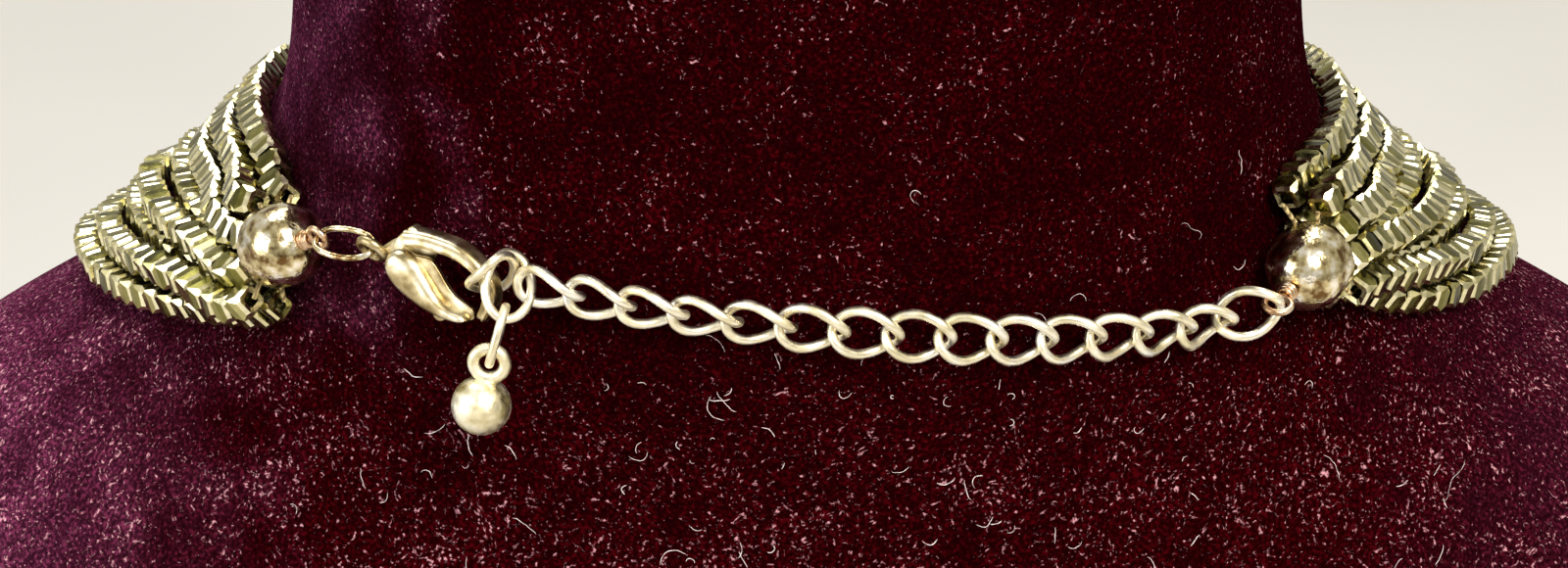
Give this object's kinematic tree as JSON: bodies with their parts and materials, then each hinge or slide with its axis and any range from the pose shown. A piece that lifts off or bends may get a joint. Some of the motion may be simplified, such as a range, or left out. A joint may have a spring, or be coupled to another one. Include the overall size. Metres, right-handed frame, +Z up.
{
  "type": "bib necklace on neck bust",
  "caption": "Multi-strand beaded bib necklace on a velvet neck bust, seen from the clasp and extender chain at the back.",
  "frame": {"origin": "middle of the bust's flat underside", "axes": "+Z up, -Y towards the front of the bib, +X to the necklace's clasp side"},
  "size_m": [0.2246, 0.1325, 0.226],
  "materials": {
    "velvet": "pile velvet, dark burgundy",
    "beads": "polished pale olive gold plate",
    "gold": "polished pale gold plate",
    "chain": "polished pale cream gold plate",
    "copper_wire": "bright copper-toned wire",
    "thread": "beading thread"
  },
  "bodies": {
    "necklace_on_bust": {"neck_bust": "velvet", "end_cap_left": "gold", "cap_wire_left": "copper_wire", "end_cap_right": "gold", "cap_wire_right": "copper_wire", "strand_1": "beads", "strand_2": "beads", "strand_3": "beads", "strand_4": "beads", "strand_5": "beads", "strand_6": "beads", "strand_7": "beads", "strand_8": "beads", "thread_ends_left": "thread", "thread_ends_right": "thread", "link_01": "chain", "link_02": "chain", "link_03": "chain", "link_04": "chain", "link_05": "chain", "link_06": "chain", "link_07": "chain", "link_08": "chain", "link_09": "chain", "link_10": "chain", "link_11": "chain", "link_12": "chain", "link_13": "chain", "link_14": "chain", "link_15": "chain", "clasp_body": "gold", "jump_ring": "gold", "clasp_link": "chain", "end_link": "chain", "drop_link": "chain", "drop_ball": "gold"},
    "clasp_lever": {"clasp_lever": "gold"}
  },
  "joints": [
    {"name": "clasp_lever_hinge", "type": "hinge", "parent": "necklace_on_bust", "child": "clasp_lever", "pos_m": [0.03766, 0.0487, 0.16963], "axis": [0.4411, 0.8914, 0.1042], "range_deg": [0, 9], "stiffness_Nm_per_rad": 0.002}
  ]
}
